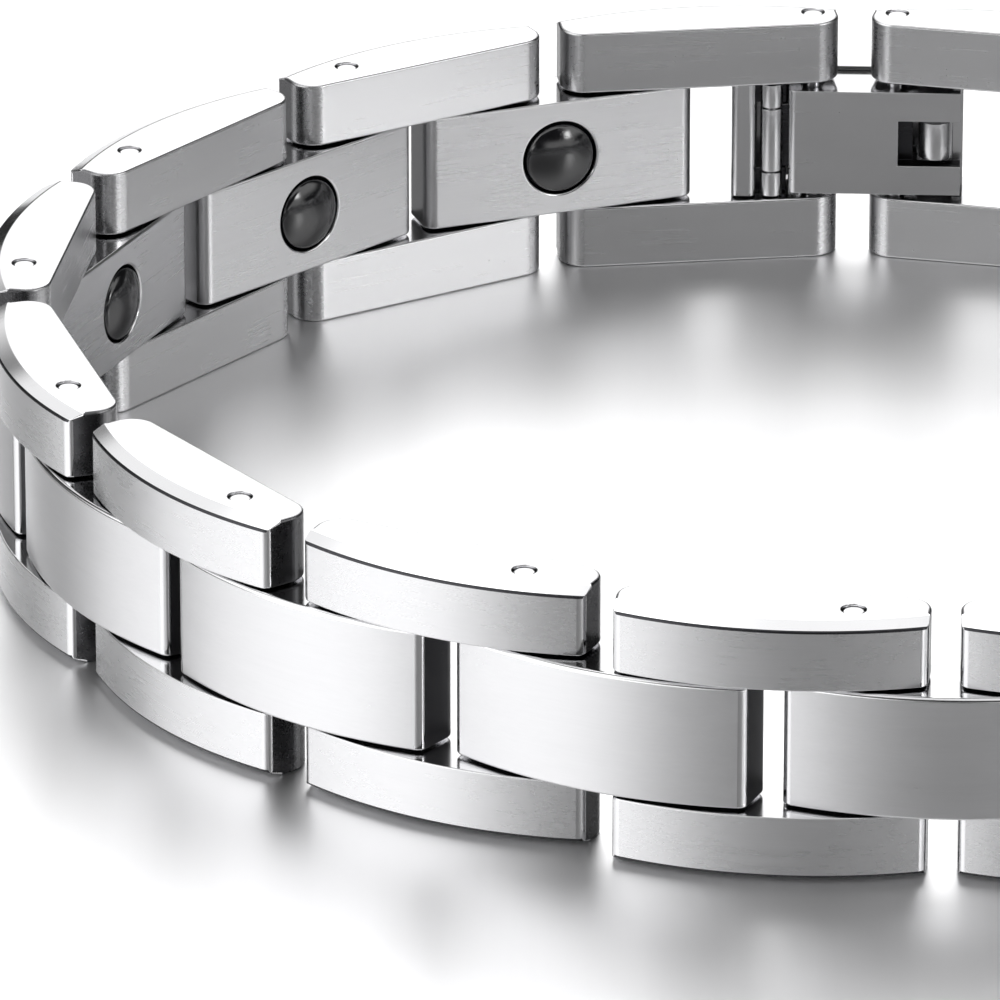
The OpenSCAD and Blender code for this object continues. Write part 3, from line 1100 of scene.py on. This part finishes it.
class ChainTree:
    """Geometry Nodes tree that sets pieces on the loop's points, each turned to its heading."""

    def __init__(self, name: str) -> None:
        """Builds the tree with its named inputs.

        Args:
            name: the tree's name.
        """
        self.tree = bpy.data.node_groups.new(name, "GeometryNodeTree")
        face = self.tree.interface
        face.new_socket("Loop", in_out="INPUT", socket_type="NodeSocketGeometry")
        face.new_socket("Pieces", in_out="INPUT", socket_type="NodeSocketCollection")
        face.new_socket("Finish", in_out="INPUT", socket_type="NodeSocketMaterial")
        face.new_socket("Grain Seed", in_out="INPUT", socket_type="NodeSocketInt")
        face.new_socket("Chain", in_out="OUTPUT", socket_type="NodeSocketGeometry")
        bench = NodeBench(self.tree)
        given = self.tree.nodes.new("NodeGroupInput")
        loop, pieces, finish, seed = (Signal(bench, given.outputs[i]) for i in range(4))
        heading = bench.make("GeometryNodeInputNamedAttribute", {"data_type": "FLOAT"}, {"Name": "heading"})
        variant = bench.make("GeometryNodeInputNamedAttribute", {"data_type": "INT"}, {"Name": "variant"})
        turn = bench.make("ShaderNodeCombineXYZ", {}, {"Z": heading})
        rotation = bench.make("FunctionNodeEulerToRotation", {}, {0: turn})
        apart = {"Collection": pieces, "Separate Children": True, "Reset Children": True}
        parts = bench.make("GeometryNodeCollectionInfo", {}, apart)
        chain = bench.make(
            "GeometryNodeInstanceOnPoints",
            {},
            {
                "Points": loop,
                "Instance": parts,
                "Pick Instance": True,
                "Instance Index": variant,
                "Rotation": rotation,
            },
        )
        order = bench.make("GeometryNodeInputIndex", {}, {})
        span = {2: 0.0, 3: 1.0, "ID": order, "Seed": seed}
        shift = bench.make("FunctionNodeRandomValue", {"data_type": "FLOAT"}, span, 1)
        marked = bench.make(
            "GeometryNodeStoreNamedAttribute",
            {"data_type": "FLOAT", "domain": "INSTANCE"},
            {"Geometry": chain, "Name": "grain_shift", "Value": shift},
        )
        solid = bench.make("GeometryNodeRealizeInstances", {}, {"Geometry": marked})
        dressed = bench.make("GeometryNodeSetMaterial", {}, {"Geometry": solid, "Material": finish})
        done = self.tree.nodes.new("NodeGroupOutput")
        self.tree.links.new(dressed.socket, done.inputs[0])

    def run(
        self,
        name: str,
        spots: Sequence[Spot],
        pieces: Sequence[bpy.types.Object],
        finish: bpy.types.Material,
        seed: int,
    ) -> bpy.types.Object:
        """Sets the pieces in their places and turns the result into one plain mesh.

        Args:
            name: name of the finished piece.
            spots: where the pieces stand, with the number of the kind that stands there.
            pieces: the kinds, in the order of their names.
            finish: material of the result.
            seed: seed of the grain's shift from link to link.

        Returns:
            The finished object at the origin.
        """
        box = bpy.data.collections.new(name + "_pieces")
        for piece in pieces:
            box.objects.link(piece)
        points = bpy.data.meshes.new(name + "_points")
        points.from_pydata([(x * MM, y * MM, 0.0) for (x, y), _, _ in spots], [], [])
        headings = [math.radians(heading) for _, heading, _ in spots]
        kinds = [kind for _, _, kind in spots]
        points.attributes.new("heading", "FLOAT", "POINT").data.foreach_set("value", headings)
        points.attributes.new("variant", "INT", "POINT").data.foreach_set("value", kinds)
        carrier = bpy.data.objects.new(name + "_carrier", points)
        bpy.context.scene.collection.objects.link(carrier)
        modifier = carrier.modifiers.new("chain", "NODES")
        modifier.node_group = self.tree
        values = {"Pieces": box, "Finish": finish, "Grain Seed": seed}
        for item in self.tree.interface.items_tree:
            if item.in_out == "INPUT" and item.name in values:
                modifier[item.identifier] = values[item.name]
        piece = settled(carrier, name)
        attributes = piece.data.attributes
        for spare in ("heading", "variant"):
            if spare in attributes:
                attributes.remove(attributes[spare])
        for spare in pieces:
            bpy.data.objects.remove(spare)
        bpy.data.collections.remove(box)
        return piece


# Sub-assemblies


def report(piece: bpy.types.Object) -> None:
    """Writes a piece's name, number of faces and size to the log.

    Args:
        piece: the finished piece.
    """
    low = [min(v.co[i] for v in piece.data.vertices) / MM for i in range(3)]
    high = [max(v.co[i] for v in piece.data.vertices) / MM for i in range(3)]
    size = " x ".join(f"{b - a:.2f}" for a, b in zip(low, high))
    log.info("%s: %d faces, %s mm", piece.name, len(piece.data.polygons), size)


@dataclass
class OuterLinks:
    """The sixteen outer links: an upper and a lower rail with the fixed pin between them."""

    layout: LoopLayout
    band_w: float = 11.0
    pin_r: float = 0.44
    pin_sunk: float = 0.3
    pin_steps: int = 32
    pin_polish: float = 0.5
    bore_r: float = 0.5
    seed: int = 3
    rail: LinkBody = field(
        default_factory=lambda: LinkBody(
            length=12.3, height=2.8, inner=1.5, crown=1.9, dome_r=18.0, corner_r=1.1,
            # Painted shade along the lower bend of each rail's bevel, a dark line at its foot
            bevel_w=0.65, bevel_h=0.28, low_edge=0.06, edge_polish=PAINTED_SHADE,
        )
    )

    def link(self, name: str, bore_at: float, pin_at: float) -> bpy.types.Object:
        """Shapes one outer link.

        Args:
            name: its name.
            bore_at: where along it the loose pin's hole is.
            pin_at: where along it the fixed pin stands.

        Returns:
            The link in its own frame.
        """
        rail = replace(self.rail, bores=(Bore(bore_at, self.bore_r),)).shell()
        lift, foot = self.band_w - self.rail.height, self.rail.height
        link = Shell()
        link.add(rail, lambda p: (p[0], p[1], p[2] + lift), lambda n: n, False)
        link.add(rail, lambda p: (p[0], p[1], foot - p[2]), lambda n: (n[0], n[1], -n[2]), True)
        pin = Shell()
        ends = (foot - self.pin_sunk, lift + self.pin_sunk)
        pin.revolve([(self.pin_r, z, 1, 0) for z in ends], self.pin_steps, self.pin_polish)
        link.add(pin, lambda p: (p[0] + pin_at, p[1], p[2]), lambda n: n, False)
        return link.to_object(name)

    def build(self, tree: ChainTree, finish: bpy.types.Material) -> bpy.types.Object:
        """Sets all outer links on the loop: plain ones, and one of its own kind on each side of the clasp.

        Args:
            tree: the tree that sets them.
            finish: their material.

        Returns:
            The finished piece.
        """
        half, far = self.layout.outer_pitch / 2, self.layout.clasp_pin_at
        kinds = [
            self.link("link_kind_0", -half, half),
            self.link("link_kind_1", far, -half),
            self.link("link_kind_2", -far, half),
        ]
        kind_of = {self.layout.clasp_side - 1: 1, self.layout.clasp_side + 1: 2}
        spots = [place.spot(kind_of.get(side, 0)) for side, place in self.layout.outer()]
        piece = tree.run("outer_links", spots, kinds, finish, self.seed)
        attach(piece, BAND)
        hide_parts(*[f"outer_link_{i + 1:02d}" for i in range(len(spots))])
        report(piece)
        return piece


@dataclass
class CentreLinks:
    """The fifteen centre links, each with two bores and the magnet's pocket."""

    layout: LoopLayout
    band_w: float = 11.0
    bore_r: float = 0.5
    seed: int = 8
    body: LinkBody = field(
        default_factory=lambda: LinkBody(
            length=12.44, height=5.2, inner=1.45, crown=1.82, dome_r=18.5, corner_r=0.55,
            bevel_w=0.12, bevel_h=0.12, low_edge=0.12, seat=Seat(),
        )
    )

    def build(self, tree: ChainTree, finish: bpy.types.Material) -> bpy.types.Object:
        """Sets all centre links on the loop.

        Args:
            tree: the tree that sets them.
            finish: their material.

        Returns:
            The finished piece.
        """
        half, foot = self.layout.centre_pitch / 2, (self.band_w - self.body.height) / 2
        bores = (Bore(-half, self.bore_r), Bore(half, self.bore_r))
        link = Shell()
        body = replace(self.body, bores=bores).shell()
        link.add(body, lambda p: (p[0], p[1], p[2] + foot), lambda n: n, False)
        spots = [place.spot() for place in self.layout.centre()]
        piece = tree.run("centre_links", spots, [link.to_object("centre_kind")], finish, self.seed)
        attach(piece, BAND)
        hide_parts(*[f"centre_link_{i + 1:02d}" for i in range(len(spots))])
        report(piece)
        return piece


@dataclass
class Magnets:
    """The black magnets, one in the inner side of each centre link."""

    layout: LoopLayout
    mid_z: float = 5.5
    inner: float = 1.45
    radius: float = 1.575
    dome: float = 0.45
    depth: float = 1.0
    rim: float = 0.17
    low_edge: float = 0.05
    rim_steps: int = 6
    dome_steps: int = 16
    dome_reach: float = 0.995
    steps: int = 56
    seed: int = 5

    def shape(self) -> Shell:
        """Shapes one magnet: a rounded rim and a low dome, whose rings go dome_reach of the way to its top.

        Returns:
            The magnet round the z axis, with z = 0 where the dome would meet the wall without its rim.
        """
        ball = (self.radius**2 + self.dome**2) / (2 * self.dome)
        rim_r, sunk = self.radius - self.rim, self.dome - ball
        widest = math.asin(rim_r / ball)
        crest = (rim_r, sunk + ball * math.cos(widest))
        slope = (math.sin(widest), math.cos(widest))
        edge = (self.radius, crest[1] - self.rim * math.tan(widest))
        foot = (self.radius, edge[1] - self.rim)
        profile = [
            (self.radius - self.low_edge, -self.depth, 0.0, -1.0),
            (self.radius, self.low_edge - self.depth, 1.0, 0.0),
        ]
        rim = rounded(foot, edge, crest, (1, 0), slope, self.rim_steps)
        profile += [(*spot, *normal) for spot, normal in rim[:-1]]
        for t in fractions(self.dome_steps):
            turn = widest * (1 - t * self.dome_reach)
            s, c = math.sin(turn), math.cos(turn)
            profile.append((ball * s, sunk + ball * c, s, c))
        magnet = Shell()
        magnet.revolve(profile, self.steps, POLISHED)
        return magnet

    def build(self, tree: ChainTree, finish: bpy.types.Material) -> bpy.types.Object:
        """Sets all magnets on the loop.

        Args:
            tree: the tree that sets them.
            finish: their material.

        Returns:
            The finished piece.
        """
        turned = Shell()
        turned.add(
            self.shape(),
            lambda p: (p[0], -p[2] - self.inner, p[1] + self.mid_z),
            lambda n: (n[0], -n[2], n[1]),
            False,
        )
        spots = [place.spot() for place in self.layout.centre()]
        piece = tree.run("magnets", spots, [turned.to_object("magnet_kind")], finish, self.seed)
        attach(piece, BAND)
        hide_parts(*[f"magnet_{i + 1:02d}" for i in range(len(spots))])
        report(piece)
        return piece


@dataclass
class LoosePins:
    """The loose pins, whose ends show in the rails."""

    layout: LoopLayout
    radius: float = 0.44
    low: float = 0.08
    high: float = 10.92
    rim: float = 0.09
    rim_steps: int = 4
    steps: int = 36
    polish: float = 0.7
    seed: int = 11

    def build(self, tree: ChainTree, finish: bpy.types.Material) -> bpy.types.Object:
        """Sets all loose pins on the loop.

        Args:
            tree: the tree that sets them.
            finish: their material.

        Returns:
            The finished piece.
        """
        profile = []
        for s, c in quarter(self.rim_steps):
            profile.append((self.radius - self.rim * (1 - s), self.low + self.rim * (1 - c), s, -c))
        profile += [(r, self.low + self.high - z, out, -up) for r, z, out, up in reversed(profile)]
        pin = Shell()
        pin.revolve(profile, self.steps, self.polish)
        spots = []
        for side, place in self.layout.outer():
            spots.append((place.at(self.layout.loose_pin_at(side)), place.heading, 0))
        piece = tree.run("loose_pins", spots, [pin.to_object("pin_kind")], finish, self.seed)
        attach(piece, BAND)
        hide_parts("link_pins", "clasp_pin", "catch_pin")
        report(piece)
        return piece


class ClaspPart(Enum):
    """Parts of the clasp: each one's solid, and the body that it rides on."""

    PLATE = ("clasp_base", BAND)
    COVER = ("clasp_lever", LEVER)
    AXLE = ("hinge_pin", BAND)


@dataclass
class Clasp:
    """The fold-over clasp: its inner plate, its domed lever and the axle, from their solids, with soft edges.

    Upright faces that don't look outward get painted shade between shade_to outward and shade_from inward of
    the line of the pins, but from tang_from along the clasp only up to tang_middle inward. So does the whole
    of the plate's slot, from slot_from along and slot_half up and down, as far inward as slot_in. A face
    looks up or outward where that part of its normal is over tilt.
    """

    layout: LoopLayout
    soft: float = 0.05
    steps: int = 3
    merge: float = 0.002
    flat_angle: float = 0.6
    edge_angle: float = 28.0
    shade_from: float = 1.3
    shade_to: float = 0.9
    tang_from: float = 2.8
    tang_middle: float = 0.8
    mid_z: float = 5.5
    slot_from: float = 1.9
    slot_half: float = 1.1
    slot_in: float = 1.69
    tilt: float = 0.5
    grain_shift: float = 0.4
    top_polish: float = 0.7
    side_polish: float = 0.15

    def part(self, part: ClaspPart, finish: bpy.types.Material) -> bpy.types.Object:
        """Dresses one part of the clasp.

        Args:
            part: which one.
            finish: its material.

        Returns:
            The finished piece.
        """
        node, body = part.value
        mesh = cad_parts[node].data.copy()
        mesh.name = node + "_soft"
        shape = bmesh.new()
        shape.from_mesh(mesh)
        bmesh.ops.remove_doubles(shape, verts=shape.verts, dist=self.merge * MM)
        flat = math.radians(self.flat_angle)
        bmesh.ops.dissolve_limit(
            shape, angle_limit=flat, verts=shape.verts, edges=shape.edges, delimit={"NORMAL"}
        )
        for face in shape.faces:
            face.smooth = True
        shape.to_mesh(mesh)
        shape.free()
        if "custom_normal" in mesh.attributes:
            mesh.attributes.remove(mesh.attributes["custom_normal"])
        carrier = bpy.data.objects.new(node + "_carrier", mesh)
        bpy.context.scene.collection.objects.link(carrier)
        bevel = carrier.modifiers.new("soften", "BEVEL")
        bevel.width = self.soft * MM
        bevel.segments = self.steps
        bevel.limit_method = "ANGLE"
        bevel.angle_limit = math.radians(self.edge_angle)
        bevel.miter_outer = "MITER_ARC"
        weigh = carrier.modifiers.new("weigh", "WEIGHTED_NORMAL")
        weigh.keep_sharp = False
        piece = settled(carrier, node + "_dressed")
        self._mark(piece.data, part)
        piece.data.materials.clear()
        piece.data.materials.append(finish)
        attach(piece, body)
        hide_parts(node)
        report(piece)
        return piece

    def _mark(self, mesh: bpy.types.Mesh, part: ClaspPart) -> None:
        """Stores the attributes that the steel reads, in the clasp's own frame.

        Args:
            mesh: mesh of the finished part.
            part: which part it is.
        """
        place = self.layout.places()[self.layout.clasp_side]
        c, s = math.cos(math.radians(place.heading)), math.sin(math.radians(place.heading))
        flat = []
        for v in mesh.vertices:
            x, y = v.co.x - place.x * MM, v.co.y - place.y * MM
            flat += [x * c + y * s, y * c - x * s, v.co.z]
        shifts = [self.grain_shift] * len(mesh.vertices)
        mesh.attributes.new("link_place", "FLOAT_VECTOR", "POINT").data.foreach_set("vector", flat)
        mesh.attributes.new("grain_shift", "FLOAT", "POINT").data.foreach_set("value", shifts)
        polish = []
        for f in mesh.polygons:
            x, y = f.center.x / MM - place.x, f.center.y / MM - place.y
            inward, facing = x * s - y * c, f.normal.x * s - f.normal.y * c
            along, level = x * c + y * s, abs(f.center.z / MM - self.mid_z)
            near = self.shade_from if along < self.tang_from else self.tang_middle
            slot = part is ClaspPart.PLATE and along > self.slot_from and level < self.slot_half
            upright = abs(f.normal.z) < self.tilt
            # Painted shade on upright faces between the clasp's parts and inside the plate's slot
            shaded = upright and facing > -self.tilt and -self.shade_to < inward < near
            if shaded or (slot and inward < self.slot_in):
                polish.append(PAINTED_SHADE)
            else:
                polish.append(self.side_polish if upright else self.top_polish)
        mesh.attributes.new("polish", "FLOAT", "FACE").data.foreach_set("value", polish)

    def build(self, finish: bpy.types.Material, axle: bpy.types.Material) -> None:
        """Dresses the three parts.

        Args:
            finish: material of the plate and the lever.
            axle: material of the axle.
        """
        for part in ClaspPart:
            self.part(part, axle if part is ClaspPart.AXLE else finish)


@dataclass(frozen=True)
class Panel:
    """Bright panel round the set: where it lies, its half sizes and soft edge in degrees, and its light."""

    turn: float
    rise: float
    half_turn: float
    half_rise: float
    fade: float
    light: float

    def glow(self, bench: NodeBench, flat: Signal, rise: Signal, light: Signal | float) -> Signal:
        """Adds the brightness that the panel gives a direction.

        Args:
            bench: where its nodes go.
            flat: the direction's level part, one long.
            rise: the direction's elevation in degrees.
            light: brightness of all that was there before.

        Returns:
            The brightness with the panel.
        """
        turn = math.radians(self.turn)
        facing = bench.vector_maths("DOT_PRODUCT", flat, (math.cos(turn), math.sin(turn), 0.0), "Value")
        full, none = math.radians(self.half_turn - self.fade), math.radians(self.half_turn + self.fade)
        aside = bench.maths("ARCCOSINE", facing).eased(full, none, self.light, 0.0)
        near, far = self.half_rise - self.fade / 2, self.half_rise + self.fade / 2
        level = bench.maths("ABSOLUTE", rise - self.rise).eased(near, far, 1.0, 0.0)
        return bench.maths("MULTIPLY_ADD", aside, level, light)


@dataclass(frozen=True)
class Studio:
    """Pale floor, soft panels all round and the camera. Lengths are millimetres."""

    floor_half: float = 4000.0
    aim: Point = (-16.157, 8.655, -2.062)
    stand: Point = (-12.365, -444.14, 193.04)
    focal: float = 418.7
    sensor: float = 36.0
    nearest: float = 10.0
    gloom: float = 0.02
    # Wall behind the set, ceiling over its back, high strip at the left back and one down from it, low window
    # and high panel at the left, panel at the right, low strip and ceiling in front, small lamp at the right
    panels: tuple[Panel, ...] = (
        Panel(90.0, 24.0, 22.0, 11.0, 6.0, 1.4),
        Panel(90.0, 45.0, 20.0, 12.0, 8.0, 2.6),
        Panel(115.0, 64.0, 58.0, 11.0, 10.0, 1.25),
        Panel(119.0, 49.0, 13.0, 21.0, 5.0, 1.1),
        Panel(220.0, 2.0, 32.0, 12.0, 10.0, 2.2),
        Panel(195.0, 34.0, 37.0, 19.0, 12.0, 1.75),
        Panel(342.0, 33.0, 26.0, 19.0, 10.0, 1.05),
        Panel(304.0, 3.0, 26.0, 11.0, 8.0, 0.9),
        Panel(270.0, 72.0, 70.0, 22.0, 10.0, 1.0),
        Panel(320.0, 20.0, 5.0, 5.0, 4.0, 7.0),
    )

    def build(self) -> None:
        """Builds the floor, the surroundings and the camera."""
        self._floor()
        self._world()
        self._camera()
        bpy.context.scene.view_settings.view_transform = "Standard"
        log.info("studio: floor, %d panels and camera", len(self.panels))

    def _floor(self) -> None:
        """Lays the floor."""
        half = self.floor_half * MM
        corners = [(-half, -half, 0), (half, -half, 0), (half, half, 0), (-half, half, 0)]
        mesh = bpy.data.meshes.new("floor")
        mesh.from_pydata(corners, [], [(0, 1, 2, 3)])
        floor = bpy.data.objects.new("floor", mesh)
        bpy.context.scene.collection.objects.link(floor)
        mesh.materials.append(FloorFinish().material())

    def _world(self) -> None:
        """Soft surroundings: gloom with panels round the set, and plain white where the camera sees them."""
        world = bpy.data.worlds.new("studio")
        world.use_nodes = True
        world.node_tree.nodes.clear()
        bench = NodeBench(world.node_tree)
        way = bench.make("ShaderNodeTexCoord", {}, {}, "Generated")
        level = bench.vector_maths("MULTIPLY", way, (1.0, 1.0, 0.0))
        flat = bench.vector_maths("NORMALIZE", level, (0.0, 0.0, 0.0))
        height = bench.make("ShaderNodeSeparateXYZ", {}, {0: way}, 2)
        rise = bench.maths("ARCSINE", height) * math.degrees(1.0)
        light: Signal | float = self.gloom
        for panel in self.panels:
            light = panel.glow(bench, flat, rise, light)
        seen = bench.make("ShaderNodeLightPath", {}, {}, "Is Camera Ray")
        strength = light * (1.0 - seen) + seen
        glow = bench.make("ShaderNodeBackground", {}, {"Color": (1.0, 1.0, 1.0, 1.0), "Strength": strength})
        bench.make("ShaderNodeOutputWorld", {}, {"Surface": glow})
        bpy.context.scene.world = world

    def _camera(self) -> None:
        """Sets the camera at the photograph's angle."""
        data = bpy.data.cameras.new("camera")
        data.sensor_width = self.sensor
        data.lens = self.focal
        data.clip_start = self.nearest * MM
        camera = bpy.data.objects.new("camera", data)
        stand, aim = Vector(self.stand) * MM, Vector(self.aim) * MM
        camera.location = stand
        camera.rotation_euler = (aim - stand).to_track_quat("-Z", "Y").to_euler()
        bpy.context.scene.collection.objects.link(camera)
        bpy.context.scene.camera = camera


def main() -> None:
    """Builds every piece in order."""
    logging.basicConfig(level=logging.INFO, format="%(name)s %(message)s")
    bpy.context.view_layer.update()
    Studio().build()
    layout = LoopLayout()
    tree = ChainTree("set_on_loop")
    rail_steel = SteelFinish("rail_steel_finish").material()
    centre_steel = SteelFinish("centre_steel_finish", satin=0.30).material()
    clasp_steel = SteelFinish("clasp_steel_finish").material()
    pin_steel = SteelFinish("pin_steel_finish").material()
    OuterLinks(layout).build(tree, rail_steel)
    CentreLinks(layout).build(tree, centre_steel)
    Magnets(layout).build(tree, MagnetFinish().material())
    LoosePins(layout).build(tree, pin_steel)
    Clasp(layout).build(clasp_steel, pin_steel)


if __name__ == "__main__":
    main()
